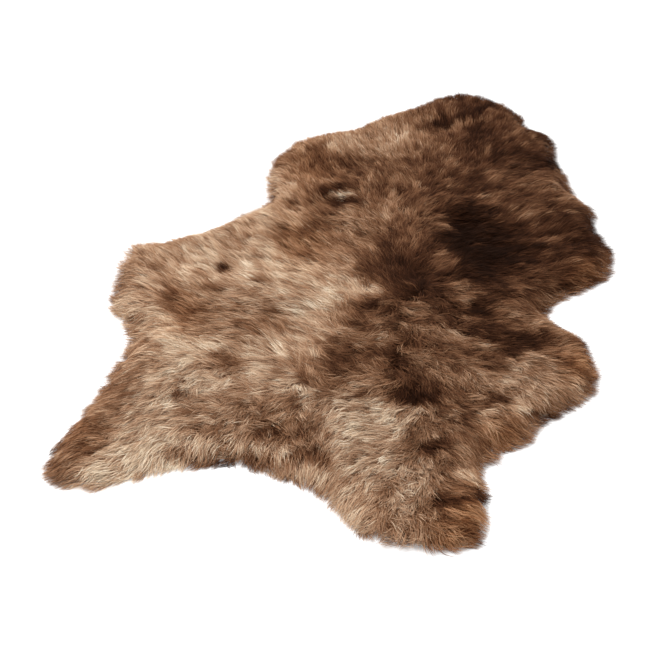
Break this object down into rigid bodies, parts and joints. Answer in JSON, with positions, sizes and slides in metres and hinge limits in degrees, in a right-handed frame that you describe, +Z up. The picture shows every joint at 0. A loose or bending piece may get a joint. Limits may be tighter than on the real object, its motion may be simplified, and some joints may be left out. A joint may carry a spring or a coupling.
{
  "type": "icelandic sheepskin",
  "caption": "Natural sheepskin rug lying flat, wool side up: a tanned skin cut to the animal's uneven outline, under a deep mass of long combed-over wool.",
  "frame": {"origin": "middle of the pelt's box, on the floor that its skin side rests on", "axes": "+Z up from the floor through the wool, +Y along the back from the hind legs to the neck, +X to the right side seen from above with the neck away"},
  "size_m": [0.7524, 1.0856, 0.0427],
  "materials": {
    "wool": "long natural wool in mixed browns, matt with a soft sheen",
    "skin": "suede side of a tanned sheepskin, matt"
  },
  "bodies": {
    "root": {"sheepskin": "wool"}
  },
  "joints": []
}
